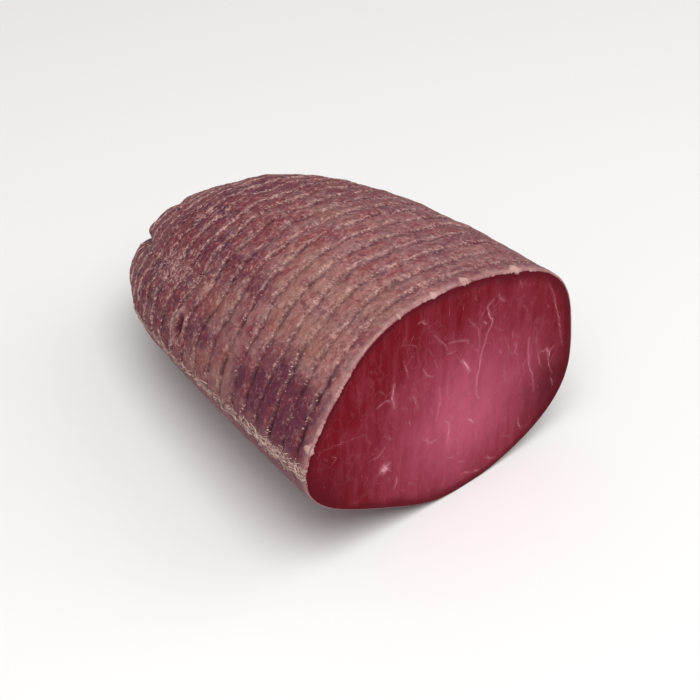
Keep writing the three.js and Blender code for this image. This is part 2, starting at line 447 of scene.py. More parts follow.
def skin_relief(sizes, at, mark):
    """How far the skin stands off the smooth form."""
    fold_gap = degrees_apart(((at.angle - LOBE_ANGLE) * LOBE_COUNT) % 360, 0) / LOBE_COUNT
    fold = bell(fold_gap / 1.5) * smooth(at.share, 0.78, 0.92)
    lumps = layered(at.distance, at.angle, (0.45, 19, 41), (0.28, 8, 42), (0.16, 4.2, 46))
    fine = layered(at.distance, at.angle, (0.2, 2.4, 43, 1.3), (0.12, 1.3, 44, 1.3))
    height = -sizes.groove_depth * mark.groove * mark.ribs * mark.broken * (0.8 + 0.2 * at.low_side)
    height += sizes.rib_crown * (mark.crown - 0.75) * mark.ribs
    height += 0.14 * mark.wall * mark.ribs * (1 + 0.7 * at.towards_tie) * mark.thread
    height -= 0.6 * fold * at.before_tie
    height += lumps * smooth(at.distance, 0, 12) * (1 - 0.5 * at.pressed)
    height += fine * (0.2 + 0.9 * mark.imprint + 0.25 * at.towards_tie) * (1 - 0.75 * at.pressed)
    height += mark.ridge * (0.8 + 0.5 * mark.crumbs)
    height -= PIT_DEPTH * mark.pit - 0.7 * mark.pit_rim
    height -= 0.35 * bell(at.distance / 0.45)
    return height * np.minimum(1, end_cap(at.share) * 1.6)


def skin_looks(at, mark):
    """What the skin's material reads at each place, mostly from 0 to 1."""
    place = at.distance, at.angle
    cell = noise(np.floor(at.hoop) * 40 % 150, at.angle, 7, 56, 3.0) * (at.hoop > 0)
    to_the_end = smooth(at.share, 0.3, 0.72) * (1 - 0.4 * bell((at.angle - 85) / 35))
    # Painted shade: darker along the flank beside each groove, and low on the near side by the cut.
    groove_flank_shade = bell((mark.to_groove + 0.7) / 1.4) * mark.ribs
    foot_shade = smooth(at.angle, 138, 164) * (at.angle < 260) * (1 - smooth(at.distance, 38, 60))
    # The sine is painted light and shade, paler on the upper near side and darker on the lower far side; the
    # cell noise varies it at random from band to band.
    dry = 0.35 * cell + 0.34 + 0.5 * np.sin(np.radians(at.angle - 45))
    rough = 0.36 - 0.2 * at.low_side - 0.1 * smooth(at.share, 0.6, 0.8) + 0.25 * at.towards_tie
    rough += 0.45 * mark.imprint * (0.8 - 0.2 * at.low_side)
    # Painted shade in the net's grooves, heavier low on the near side.
    groove = mark.groove * mark.broken * (mark.ribs * (0.4 + 0.4 * at.low_side) + 0.3 * at.pressed)
    thread = mark.wall * mark.ribs * (0.45 + 0.15 * at.towards_tie) * mark.thread
    return {
        "groove": np.clip(groove, 0, 1),
        "thread": thread * (1 - 0.7 * at.low_side),
        "rough": np.clip(rough, 0, 1) * (1 - 0.75 * at.pressed),
        "dry": dry - 1.35 * to_the_end - 0.4 * groove_flank_shade - 0.75 * foot_shade,
        "dark": 0.85 * patch(*place, DARK_PATCHES) * (0.85 + 0.35 * noise(*place, 6, 52)),
        "ochre": patch(*place, OCHRE_PATCHES) * (0.75 + 0.6 * noise(*place, 5, 53)),
        "red": (patch(*place, RED_PATCHES) + 0.75 * at.towards_tie) * (0.75 + 0.5 * noise(*place, 6, 55)),
        "rosette": patch(*place, (ROSETTE,)),
        "ridge": np.clip(mark.ridge * (0.8 + 0.7 * mark.crumbs), 0, 1),
        "below": mark.below,
        "pit": mark.pit,
        "pit_rim": np.clip(mark.pit_rim, 0, 1),
        "edge": bell(at.distance / 1.5),
    }


def skin_grid(sizes):
    """The finished skin as rows by columns of points, with what its material reads."""
    hoops, angles = skin_lines()
    base, at = skin_site(*np.meshgrid(hoops, angles % 360, indexing="ij"))
    mark = SimpleNamespace(**net_marks(sizes, at), **ridge_marks(at), **pit_marks(at))
    points = base + grid_normals(base) * skin_relief(sizes, at, mark)[..., None]
    tie_reach = np.hypot(points[..., 1] - base[-1, 0, 1], points[..., 2] - base[-1, 0, 2])
    points[..., 0] += TIE_HOLLOW * bell(tie_reach / TIE_SPREAD) * smooth(at.share, 0.9, 1.0)
    points[..., 2] = rested(points[..., 2])
    points[0, :, 0] = CUT_X
    points[-1] = points[-1].mean(0)
    return SimpleNamespace(
        points=points,
        normals=grid_normals(points),
        hoops=hoops,
        angles=angles,
        looks=skin_looks(at, mark),
    )


def sample(grid_values, row, column):
    """Values of a grid at rows and columns that needn't be whole, blended from the four corners round."""
    row = np.clip(row, 0, grid_values.shape[0] - 1.001)
    i = row.astype(int)
    j = np.floor(column).astype(int)
    a, b = row - i, column - j
    a, b = (t.reshape(t.shape + (1,) * (grid_values.ndim - 2)) for t in (a, b))
    j, k = j % AROUND, (j + 1) % AROUND
    near = grid_values[i, j] * (1 - b) + grid_values[i, k] * b
    far = grid_values[i + 1, j] * (1 - b) + grid_values[i + 1, k] * b
    return near * (1 - a) + far * a


def skin_places(grid, hoop, angle):
    """Points, outward normals, and unit directions round and along the skin at hoops and angles."""
    row = np.interp(hoop, grid.hoops, np.arange(len(grid.hoops)))
    column = ((angle - PRESSED_ANGLE) % 360) * AROUND / 360
    point = sample(grid.points, row, column)
    normal = unit(sample(grid.normals, row, column))
    around = unit(sample(grid.points, row, column + 1.5) - point)
    along = unit(np.cross(around, normal))
    return point, normal, np.cross(normal, along), along


# ---- Meshes ----


def ring_faces(rows, columns, start=0):
    """Quads between neighbouring rings of a grid that closes along its columns."""
    i, j = np.meshgrid(np.arange(rows - 1), np.arange(columns), indexing="ij")
    a, b = i * columns + j, i * columns + (j + 1) % columns
    return start + np.stack([a, a + columns, b + columns, b], -1).reshape(-1, 4)


def make_piece(name, points, faces, material, attributes=None, replaces=False):
    """Makes a smooth piece of points in mm and arrays of faces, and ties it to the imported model."""
    mesh = bpy.data.meshes.new(name)
    points = points.reshape(-1, 3)
    corners = np.concatenate([part.ravel() for part in faces]).astype(np.int32)
    counts = np.concatenate([np.full(len(part), part.shape[1]) for part in faces])
    mesh.vertices.add(len(points))
    mesh.vertices.foreach_set("co", (points * MM).astype(np.float32).ravel())
    mesh.loops.add(len(corners))
    mesh.loops.foreach_set("vertex_index", corners)
    mesh.polygons.add(len(counts))
    mesh.polygons.foreach_set("loop_start", np.concatenate([[0], np.cumsum(counts)[:-1]]).astype(np.int32))
    mesh.update(calc_edges=True)
    mesh.shade_smooth()
    for label, values in (attributes or {}).items():
        layer = mesh.attributes.new(label, "FLOAT", "POINT")
        layer.data.foreach_set("value", np.asarray(values, np.float32).ravel())
    if mesh.validate():
        raise RuntimeError(f"{name} has faces that aren't sound")
    mesh.materials.append(material)
    piece = bpy.data.objects.new(name, mesh)
    bpy.context.collection.objects.link(piece)
    if replaces:
        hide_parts(NODE)
    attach(piece, BODY)


def carried(path, normal, profile, width, height):
    """A closed profile carried along a path, as rings of path + width * x * side + height * y * normal.

    Path and normal are (n, 3), width and height (n,), and the profile (m, 2), anticlockwise from ahead."""
    ahead = unit(np.gradient(path, axis=0))
    side = unit(np.cross(ahead, normal))
    across = profile[:, 0][None, :, None] * (width[:, None, None] * side[:, None])
    up = profile[:, 1][None, :, None] * (height[:, None, None] * normal[:, None])
    return path[:, None] + across + up


def joined(rings, tones):
    """Points, faces and tones of carried profiles as one mesh, each closed at both ends by one face."""
    points, quads, caps = [], [], []
    start = 0
    for ring in rings:
        rows, columns = ring.shape[:2]
        quads.append(ring_faces(rows, columns, start))
        first = start + np.arange(columns)
        caps.append(np.stack([first, first[::-1] + (rows - 1) * columns]))
        points.append(ring.reshape(-1, 3))
        start += rows * columns
    tone = np.concatenate([tone.ravel() for tone in tones])
    return np.concatenate(points), [np.concatenate(quads), np.concatenate(caps)], tone


# ---- Materials ----

NOISE_INPUTS = ("Vector", "Scale", "Detail", "Roughness", "Distortion")
HOOPED = (1.35, 1.0, 1.0)  # presses the skin's patterns together, so that they run round as the hoops do
UPRIGHT, LEANING = (1.0, 1.0, 0.16), (1.0, 1.0, 0.4)  # the grain of the cut face runs up and down

# The small pieces' finishes: name, the colour that a user sets, deep colour, roughness and specular level.
FINISHES = {
    "fat_veins": ("beef fat", "fat", "#96344C", 0.45, 0.1),  # waxy, and pink where it is thin
    "net_marks": ("dried casing", "stitch", "#8E6260", 0.6, 0.15),  # dull and pale, like dry paper
    "frayed_edge": ("frayed casing", "frayed", "#84484E", 0.55, 0.12),  # thinner, so the meat reddens it
    "ridge_fibres": ("dried fibres", "ridge", "#70424A", 0.7, 0.12),  # matt, nearly white where it is driest
}


def cells(size):
    """How many cells of a pattern lie in a metre, for cells of a size in mm."""
    return 1 / (size * MM)


def add(tree, kind, inputs=(), out=0, **settings):
    """Adds a shader node, sets its settings, fills or links its inputs, and gives one of its outputs."""
    made = tree.nodes.new("ShaderNode" + kind)
    for name, value in settings.items():
        setattr(made, name, value)
    for key, value in dict(inputs).items():
        if isinstance(value, bpy.types.NodeSocket):
            tree.links.new(value, made.inputs[key])
        else:
            made.inputs[key].default_value = value
    return made.outputs[out] if made.outputs else None


def new_tree(name):
    """The empty node tree of a new material, and the material."""
    material = bpy.data.materials.new(name)
    material.use_nodes = True
    material.node_tree.nodes.clear()
    return material.node_tree, material


def finish(tree, inputs):
    """Ends a tree with its Principled shader, whose plain settings stand on its own sockets."""
    add(tree, "OutputMaterial", {"Surface": add(tree, "BsdfPrincipled", inputs)})


def skin_material(colours, looks):
    """Dried beef skin under its casing: matt, brown-purple, tan where it has dried most, finely grained,
    with painted light and shade: paler on the upper near side, darker low down and beside the grooves.
    """
    tree, material = new_tree("dried beef skin")
    look = {name: add(tree, "Attribute", out="Fac", attribute_name=name) for name in looks}
    where = add(tree, "TexCoord", out="Object")
    hooped = add(tree, "Mapping", {"Vector": where, "Scale": HOOPED})
    # From blotches of 12 mm down to grain. Real grain is about 0.3 mm, too fine to show, so it is
    # drawn at 1.1.
    blotch, warmth, mottle, spots, grain = (
        add(tree, "TexNoise", dict(zip(NOISE_INPUTS, row)))
        for row in (
            (where, cells(11.76), 4, 0.6),
            (hooped, cells(8.333), 4, 0.65, 0.6),
            (hooped, cells(3.03), 5, 0.7),
            (hooped, cells(4.348), 4, 0.72, 0.4),
            (where, cells(1.111), 3, 0.65),
        )
    )
    fibres = add(tree, "TexVoronoi", {"Vector": hooped, "Scale": cells(3.333)}, feature="DISTANCE_TO_EDGE")
    speckle = add(tree, "Math", {0: grain, 1: 0.7, 2: mottle}, operation="MULTIPLY_ADD")
    warmer = add(tree, "Math", {0: look["red"], 1: 0.18, 2: warmth}, operation="MULTIPLY_ADD")

    # Dry skin is tan and damp skin is purple, in uneven patches. The same mix also carries painted light and
    # shade: paler on the upper near side, and darker low down, beside the grooves and low on the near side
    # by the cut.
    uneven = look["dry"]
    for pattern, amount in ((blotch, 1.7), (mottle, 0.7), (look["dark"], -1.5)):
        uneven = add(tree, "Math", {0: pattern, 1: amount, 2: uneven}, operation="MULTIPLY_ADD")

    # What follows a pattern: the pattern, two of its values, and what is given at each.
    part = {
        name: add(tree, "MapRange", dict(enumerate(row)))
        for name, row in {
            "dry": (uneven, 0.75, 2.1, 0.0, 1.0),
            "warm": (warmer, 0.5, 0.64, 0.0, 0.8),
            "cool": (warmth, 0.47, 0.36, 0.0, 0.7),
            "deep": (spots, 0.49, 0.36, 0.0, 0.6),
            "damp": (speckle, 0.84, 0.66, 0.0, 0.9),
            "threads": (fibres, 0.0, 0.12, 0.12, 0.0),
            "specks": (speckle, 0.9, 1.05, 0.0, 0.8),
            "paler": (spots, 0.54, 0.7, 0.0, 0.3),
            "beads": (grain, 0.36, 0.6, 0.1, 0.9),
            "worn": (spots, 0.35, 0.62, 0.35, 0.8),
            "crumbs": (speckle, 0.68, 0.95, 0.1, 1.0),
            "roughness": (mottle, 0.3, 0.7, 0.48, 0.72),
        }.items()
    }
    # Pale fibres show close together where the net lay and towards the tied end.
    pale = 0.0
    for pattern, amount in (
        (part["threads"], look["rough"]),
        (part["specks"], look["rough"]),
        (part["paler"], look["rough"]),
        (part["beads"], look["thread"]),
        (look["rosette"], 0.08),
        (look["pit_rim"], 0.55),
    ):
        pale = add(tree, "Math", {0: pattern, 1: amount, 2: pale}, operation="MULTIPLY_ADD")
    # The grooves that the net pressed in, and the pit, get painted shade in the groove colour.
    groove_and_pit_shade = add(tree, "Math", {0: look["pit"], 1: 0.85, 2: look["groove"]}, operation="MULTIPLY_ADD")

    # The damp colour also stands for painted shade, and the tan colour for painted light.
    colour = colours.skin_damp_and_shaded
    for pattern, amount, over in (
        (part["dry"], 1.0, colours.skin_dry_and_lit),
        (part["warm"], 1.0, colours.skin_red),
        (part["cool"], part["dry"], colours.skin_grey),
        (part["deep"], 1.0, colours.skin_damp_and_shaded),
        (look["ochre"], 0.5, colours.ochre),
        (part["damp"], look["rough"], colours.groove),
        (pale, 1.0, colours.stitch),
        (groove_and_pit_shade, 1.0, colours.groove),
        (part["worn"], look["below"], colours.resting_side),
        (mottle, look["edge"], colours.frayed),
        (part["crumbs"], look["ridge"], colours.ridge),
    ):
        amount = add(tree, "Math", {0: pattern, 1: amount}, operation="MULTIPLY")
        colour = add(tree, "Mix", {0: amount, 6: colour, 7: over}, out=2, data_type="RGBA")

    relief = add(tree, "Math", {0: look["rough"], 1: 0.8, 2: 0.25}, operation="MULTIPLY_ADD")
    coarse = add(tree, "Bump", {"Height": mottle, "Strength": relief, "Distance": 1.2 * MM})
    bump = add(tree, "Bump", {"Height": grain, "Strength": relief, "Distance": 0.3 * MM, "Normal": coarse})
    rough = part["roughness"]
    finish(tree, {"Base Color": colour, "Roughness": rough, "Normal": bump, "Specular IOR Level": 0.12})
    return material


def face_material(colours, looks):
    """Cured beef, freshly cut with a knife: smooth, moist, translucent and crimson, with upright grain."""
    tree, material = new_tree("freshly cut cured beef")
    look = {name: add(tree, "Attribute", out="Fac", attribute_name=name) for name in looks}
    where = add(tree, "TexCoord", out="Object")
    upright = add(tree, "Mapping", {"Vector": where, "Scale": UPRIGHT})
    leaning = add(tree, "Mapping", {"Vector": where, "Scale": LEANING})
    streak, cloud, grain = (
        add(tree, "TexNoise", dict(zip(NOISE_INPUTS, row)))
        for row in (
            (upright, cells(3.846), 5, 0.6),
            (where, cells(18.18), 4, 0.55),
            (where, cells(1.111), 3, 0.6),
        )
    )
    bend = add(tree, "TexNoise", {"Vector": where, "Scale": cells(8.333)}, out="Color")
    bent = add(tree, "Mix", {0: 0.012, 4: leaning, 5: bend}, out=1, data_type="VECTOR")
    web = add(tree, "TexVoronoi", {"Vector": bent, "Scale": cells(7.692)}, feature="DISTANCE_TO_EDGE")

    # The paler middle of the face is partly the meat's own colour and partly a painted sheen.
    amount = look["pale"]
    for pattern, share in ((cloud, 0.5), (streak, 0.55)):
        amount = add(tree, "Math", {0: pattern, 1: share, 2: amount}, operation="MULTIPLY_ADD")
    amount = add(tree, "MapRange", {"Value": amount, "From Min": 0.52, "From Max": 1.5})
    threads = add(tree, "MapRange", {"Value": web, "From Max": 0.05, "To Min": 0.1, "To Max": 0.0})
    threads = add(tree, "Math", {0: threads, 1: cloud}, operation="MULTIPLY")
    veined = add(tree, "Math", {0: look["fat"], 1: 0.55, 2: threads}, operation="MULTIPLY_ADD")

    colour = colours.lean
    for share, over in (
        (amount, colours.lean_pale_and_sheen),
        (veined, colours.fat),
        (look["shade"], colours.lean_dark),
        (look["crust"], colours.lean_edge),
    ):
        colour = add(tree, "Mix", {0: share, 6: colour, 7: over}, out=2, data_type="RGBA")

    rough = {"Value": cloud, "From Min": 0.3, "From Max": 0.7, "To Min": 0.36, "To Max": 0.52}
    coarse = add(tree, "Bump", {"Height": streak, "Strength": 0.25, "Distance": 0.6 * MM})
    bump = add(tree, "Bump", {"Height": grain, "Strength": 0.2, "Distance": 0.2 * MM, "Normal": coarse})
    # Light goes a few millimetres into moist lean meat, red light furthest.
    shader = {
        "Base Color": colour,
        "Roughness": add(tree, "MapRange", rough),
        "Normal": bump,
        "Specular IOR Level": 0.03,
        "Subsurface Weight": 0.08,
        "Subsurface Radius": (4 * MM, 1.2 * MM, 1.2 * MM),
        "Subsurface Scale": 0.6,
    }
    finish(tree, shader)
    return material


def toned_material(name, pale, deep, roughness, specular):
    """A finish that goes from a deep to a pale colour by the piece's own tone, with grain of 1 mm."""
    tree, material = new_tree(name)
    where = add(tree, "TexCoord", out="Object")
    tone = add(tree, "Attribute", out="Fac", attribute_name="tone")
    grain = add(tree, "TexNoise", {"Vector": where, "Scale": cells(1.0), "Detail": 3.0})
    amount = add(tree, "Math", {0: grain, 1: 0.5, 2: tone}, operation="MULTIPLY_ADD")
    amount = add(tree, "Math", {0: amount, 1: 0.25}, operation="SUBTRACT")
    colour = add(tree, "Mix", {0: amount, 6: deep, 7: pale}, out=2, data_type="RGBA")
    bump = add(tree, "Bump", {"Height": grain, "Strength": 0.4, "Distance": 0.3 * MM})
    shader = {"Base Color": colour, "Roughness": roughness, "Normal": bump, "Specular IOR Level": specular}
    finish(tree, shader)
    return material


def make_toned(name, points, faces, tone, colours):
    """Makes one of the small pieces with the finish that FINISHES gives it."""
    label, pale, deep, roughness, specular = FINISHES[name]
    material = toned_material(label, getattr(colours, pale), linear(deep), roughness, specular)
    make_piece(name, points, faces, material, {"tone": tone})


# ---- Sizes and colours that a user would change ----


def mm_property(name, description, default):
    """A length that a user can set, from 0 up."""
    text = f"{description}, in mm"
    return bpy.props.FloatProperty(name=name, description=text, default=default, min=0.0, soft_max=20.0)


def hex_property(name, description, code):
    """A colour that a user can set, given as an sRGB hex value."""
    settings = {"default": linear(code), "size": 4, "subtype": "COLOR", "min": 0, "max": 1}
    return bpy.props.FloatVectorProperty(name=name, description=description, **settings)


class BresaolaSizes(bpy.types.PropertyGroup):
    """Lengths in millimetres."""

    groove_depth: mm_property("Groove depth", "Depth of the narrow groove that a hoop leaves", 0.62)
    groove_width: mm_property("Groove half width", "Half width of that groove", 0.85)
    rib_crown: mm_property("Rib crown", "How far the middle of a rib stands above its sides", 0.75)
    stitch_spacing: mm_property("Stitch spacing", "Distance between two stitch marks of a hoop", 1.45)
    vein_height: mm_property("Vein height", "How far a vein of fat stands above the cut", 0.05)
    fray_reach: mm_property("Fray reach", "How far the frayed casing reaches past the cut", 0.8)


class BresaolaColours(bpy.types.PropertyGroup):
    """Colours of the skin, the meat and the fat."""

    # Also painted light on the upper near side.
    skin_dry_and_lit: hex_property("Dry skin", "Skin where it has dried most", "#946160")
    # Also painted shade low down and beside the grooves.
    skin_damp_and_shaded: hex_property("Damp skin", "Skin low down and towards the tied end", "#592337")
    skin_red: hex_property("Red skin", "Reddish patches", "#7C3339")
    skin_grey: hex_property("Grey skin", "Greyish patches", "#82605F")
    ochre: hex_property("Ochre patches", "Yellowish patches along the side", "#A27667")
    # Painted shade in the grooves and the pit, and also the fine dark specks where the net lay.
    groove: hex_property("Grooves", "Bottom of the net's grooves", "#38161F")
    stitch: hex_property("Stitch marks", "Pale marks that the net's stitches left", "#D2A9A2")
    ridge: hex_property("Ridge", "Dry crumbling ridge beside the resting side", "#DCBDB2")
    resting_side: hex_property("Resting side", "Smooth skin below the ridge", "#7B5159")
    frayed: hex_property("Frayed edge", "Torn casing at the cut", "#BC928E")
    lean: hex_property("Lean", "The cut face", "#6E0819")
    # Paler meat in the middle of the face, with a painted sheen on it.
    lean_pale_and_sheen: hex_property("Pale lean", "The middle of the cut face", "#B15068")
    lean_edge: hex_property("Lean edge", "Dried ring of meat next to the skin", "#560616")
    lean_dark: hex_property("Dark lean", "Low on the right of the cut face", "#4C0817")
    fat: hex_property("Fat", "Veins of fat", "#D9909E")


# ---- Cut face ----

# Veins of fat: width, paleness, and points (y, z) on the face, from its middle and from the base.
VEINS = (
    (1.2, 1.0, ((-26.6, 71), (-27.2, 66), (-26.4, 60.5))),
    (0.7, 0.8, ((-34.9, 64.6), (-30.4, 65.4), (-27.4, 63.5))),
    (0.5, 0.5, ((-33.4, 71.5), (-31.9, 69.5))),
    (0.6, 0.5, ((-21.9, 79.5), (-20.4, 74), (-19.4, 70.5))),
    (0.5, 0.3, ((-22.9, 87), (-16.4, 83.5), (-14.9, 78.5), (-13.4, 72.5))),
    (0.9, 0.6, ((-14.9, 92.8), (-12.4, 92.5), (-10.9, 90.8))),
    (0.7, 0.8, ((-11.9, 70.5), (-9.9, 66.8), (-6.7, 64.3))),
    (0.4, 0.4, ((-9.4, 78.5), (-6.9, 74))),
    (0.5, 0.6, ((-6.1, 71.5), (-4.4, 67.5))),
    (0.6, 0.6, ((-6.4, 83.5), (-3.4, 79), (-0.4, 75.5), (0.6, 73))),
    (0.7, 0.6, ((-16.9, 60), (-15.7, 58.5), (-13.7, 52.5))),
    (0.4, 0.4, ((-22.4, 58), (-19.4, 55.5))),
    (0.7, 0.7, ((-3, 57), (-2.6, 50), (-4.2, 42))),
    (0.5, 0.5, ((-7.2, 49.5), (-5.9, 46))),
    (0.4, 0.3, ((-64.4, 60), (-54.4, 57.8), (-41.4, 55.5), (-39.4, 52), (-38.4, 49.5))),
    (0.8, 0.3, ((-56.9, 54), (-54.9, 52), (-56.4, 51))),
    (0.4, 0.4, ((-18.2, 80), (-16.9, 78.5))),
    (0.6, 0.6, ((-18.4, 49.5), (-17.7, 47.5))),
    (0.7, 0.7, ((-28.9, 48), (-27.9, 46))),
    (0.8, 0.6, ((-35.4, 40.5), (-32.4, 42), (-30.9, 43.5))),
    (12.0, 1.0, ((-32.2, 34.2), (-30.6, 33.2), (-29.0, 32.2))),
    (10.0, 1.0, ((-31.0, 35.1), (-30.6, 33.4), (-30.7, 31.5))),
    (8.0, 1.0, ((-32.5, 32.8), (-30.4, 33.3), (-28.7, 34.3))),
    (0.7, 0.6, ((-24.4, 25.5), (-24.4, 23), (-25.4, 20.5))),
    (1.0, 0.8, ((-9.4, 36), (-7.4, 33), (-4.2, 32.5))),
    (0.4, 0.5, ((-11.4, 37.5), (-8.9, 35))),
    (0.5, 0.3, ((-14.9, 30), (-9.4, 27))),
    (0.5, 0.5, ((-17.9, 19), (-15.9, 17.5))),
    (0.8, 0.7, ((1.6, 75.5), (5.6, 74.5), (11.1, 72), (11.6, 70.5))),
    (0.5, 0.6, ((0.6, 71), (4.6, 70.3))),
    (0.6, 0.5, ((11.1, 82), (13.6, 78.5), (17.1, 74), (17.6, 70), (18.1, 65))),
    (0.9, 0.9, ((24.1, 84.5), (21.4, 83), (22.1, 80), (22.6, 77.5), (24.3, 74.3), (21.6, 70))),
    (
        0.9,
        0.9,
        ((21.6, 70), (20.6, 66), (19, 62), (18.6, 57), (17.6, 53), (16.9, 48), (17.6, 43), (18.4, 41)),
    ),
    (0.8, 0.7, ((27.1, 85.5), (27.9, 83.5), (30.4, 81))),
    (0.8, 0.5, ((38.1, 87), (39.4, 83))),
    (0.8, 0.8, ((19.6, 76.5), (21.1, 75))),
    (0.5, 0.5, ((15.1, 66), (18.1, 63.5))),
    (1.8, 1.0, ((9.1, 63.5), (10.6, 61), (12.9, 57))),
    (0.4, 0.5, ((5.6, 68), (9.1, 62))),
    (0.7, 0.4, ((1.6, 62), (1.4, 52), (2.6, 49))),
    (0.9, 0.6, ((29.1, 58.5), (30.1, 56.8))),
    (0.8, 0.6, ((33.6, 58.5), (34.4, 56.5))),
    (0.7, 0.6, ((37.1, 57.5), (38.6, 55.5), (37.6, 53), (39.1, 51.5))),
    (0.7, 0.5, ((35.1, 54.5), (36.6, 53))),
    (0.5, 0.5, ((31.6, 63.5), (33.1, 60))),
    (0.5, 0.5, ((35.4, 64.5), (35.8, 61))),
    (0.5, 0.4, ((25.6, 71), (30.1, 67.5))),
    (0.4, 0.4, ((41.1, 73.5), (43.6, 70))),
    (0.8, 0.8, ((45.6, 56), (45.4, 50), (46.1, 45), (47.1, 40), (48.9, 36.5), (49.4, 32), (50.1, 27.5))),
    (1.0, 0.3, ((55.1, 67), (55.2, 66))),
    (0.8, 0.5, ((55.1, 77), (58.1, 70), (60.6, 62), (62.6, 55), (64.1, 48), (65.6, 42.5))),
    (0.5, 0.5, ((49.6, 54), (50.1, 51))),
    (0.5, 0.3, ((11.1, 50), (12.6, 47), (14.1, 45))),
    (0.8, 0.3, ((7.1, 41.5), (7.6, 44), (9.6, 45))),
    (0.8, 0.3, ((32.1, 49.5), (32.6, 44), (33.6, 39.5))),
    (1.6, 1.0, ((56.1, 45.5), (57.6, 42.5), (57.6, 40))),
    (0.8, 0.9, ((57.6, 43), (60.1, 44.5))),
    (0.8, 0.8, ((57.6, 40), (58.6, 35.5), (60.6, 31))),
    (0.7, 0.7, ((53.1, 45.5), (56.1, 45.5))),
    (0.7, 0.6, ((51.1, 46), (52.1, 42), (53.6, 38))),
    (0.5, 0.5, ((44.1, 46.5), (43.1, 43), (44.1, 40.5))),
    (0.9, 0.8, ((0.6, 39), (2.6, 37), (2.9, 33), (2.1, 28))),
    (1.0, 1.0, ((13.1, 33.5), (14.9, 32), (15.9, 30))),
    (0.8, 0.6, ((2.6, 20), (5.6, 18.3))),
    (0.8, 0.5, ((9.1, 14.3), (12.1, 12.8))),
    (0.7, 0.6, ((10.6, 7), (12.6, 6.8), (15.1, 5.5))),
    (0.9, 0.6, ((24.6, 8), (27.1, 6), (29.1, 5))),
    (0.9, 0.6, ((18.1, 4.8), (20.6, 3.5))),
    (0.9, 0.6, ((42.1, 18), (42.6, 14.5), (44.1, 12))),
    (0.9, 0.3, ((42.1, 37), (41.6, 35))),
    (0.8, 0.6, ((59.4, 30), (60.8, 26), (61.6, 24.5))),
    (0.7, 0.6, ((62.1, 26.5), (65.1, 24))),
    (0.5, 0.3, ((31.6, 15), (37.6, 11.5))),
    (0.5, 0.4, ((4.1, 39.5), (5.6, 38))),
)
VEIN_STEP = 0.45  # between the rings of a vein
INNER = 20.0  # so far from the rim, the face's edge no longer shows
VEIN_ROOM = 0.96  # veins that aren't listed in VEINS stay within this share of the way to the rim
VEIN_PROFILE = np.array(((1, -0.6), (0.55, 0.55), (0, 1), (-0.55, 0.55), (-1, -0.6), (0, -2.4)))
FLECK_COUNT = 160


def curve_through(points, step):
    """A Catmull-Rom curve through the points, at about even steps."""
    points = np.asarray(points, float)
    ends = np.concatenate([[2 * points[0] - points[1]], points, [2 * points[-1] - points[-2]]])
    pieces = []
    for a, b, c, d in zip(ends[:-3], ends[1:-2], ends[2:-1], ends[3:]):
        count = max(2, math.ceil(np.linalg.norm(c - b) / step))
        t = (np.arange(count) / count)[:, None]
        bend, twist = 2 * a - 5 * b + 4 * c - d, 3 * b - a - 3 * c + d
        pieces.append(b + (c - a) * t / 2 + bend * t**2 / 2 + twist * t**3 / 2)
    return np.concatenate(pieces + [points[-1:]])


def face_rise(y, z, edge):
    """How far the cut stands out of its plane: broad swells, a knife's faint arcs, a bead at its edge."""
    swell = 0.12 * np.sin(y / 13 + 0.8) * np.sin(z / 17 + 0.3) + 0.06 * np.sin(y / 5.1 + z / 7.3)
    arcs = 0.02 * np.sin(np.hypot(y - 160, z + 60) * 2 * np.pi / 5.5 + 0.9 * np.sin(z / 9))
    return (swell + arcs) * smooth(edge, 0.5, 9) + 0.1 * bell((edge - 1.6) / 1.4)


def random_flecks(rim):
    """Short faint flecks of fat that follow the grain, at random but seeded places inside the rim."""
    draw = np.random.default_rng(71)
    middle = rim.mean(0)
    flecks = []
    for _ in range(FLECK_COUNT):
        column = draw.integers(0, len(rim))
        reach = 0.93 * math.sqrt(draw.uniform(0.0, 1.0))
        y, z = middle[1:] + (rim[column, 1:] - middle[1:]) * reach
        length = draw.uniform(1.2, 5.0)
        lean = draw.normal(0.05, 0.22)
        bend = draw.normal(0, 0.12)
        ends = np.array([[-lean, -1], [bend, 0], [lean, 1]]) * length / 2
        flecks.append((draw.uniform(0.3, 0.6), draw.uniform(0.02, 0.35), ends + (y, z)))
    return flecks


def branches():
    """Short faint side branches of the veins: each leaves a point of its vein and wanders up to 8 mm."""
    draw = np.random.default_rng(73)
    found = []
    for width, paleness, vein in VEINS:
        line = curve_through(vein, 1.0)
        for _ in range(draw.integers(1, 2 + len(line) // 5)):
            place = line[draw.integers(0, len(line))]
            heading = math.radians(draw.choice((-1, 1)) * 90 + draw.normal(0, 38))
            points = [place]
            for _ in range(draw.integers(3, 6)):
                heading += draw.normal(0, 0.45)
                place = place + draw.uniform(0.7, 1.9) * np.array((math.cos(heading), math.sin(heading)))
                points.append(place)
            found.append((draw.uniform(0.3, 0.6), 0.55 * paleness * draw.uniform(0.3, 1), points))
    return found


def inside(vein, rim):
    """Whether all of a vein lies within VEIN_ROOM of the way from the middle of the cut to its rim."""
    middle = rim[:, 1:].mean(0)
    (edge_turn, edge_reach), (turn, reach) = (
        (np.arctan2(line[:, 1], line[:, 0]), np.hypot(line[:, 0], line[:, 1]))
        for line in (rim[:, 1:] - middle, curve_through(vein, 1.0) - middle)
    )
    return bool((reach < VEIN_ROOM * np.interp(turn, edge_turn, edge_reach, period=2 * np.pi)).all())


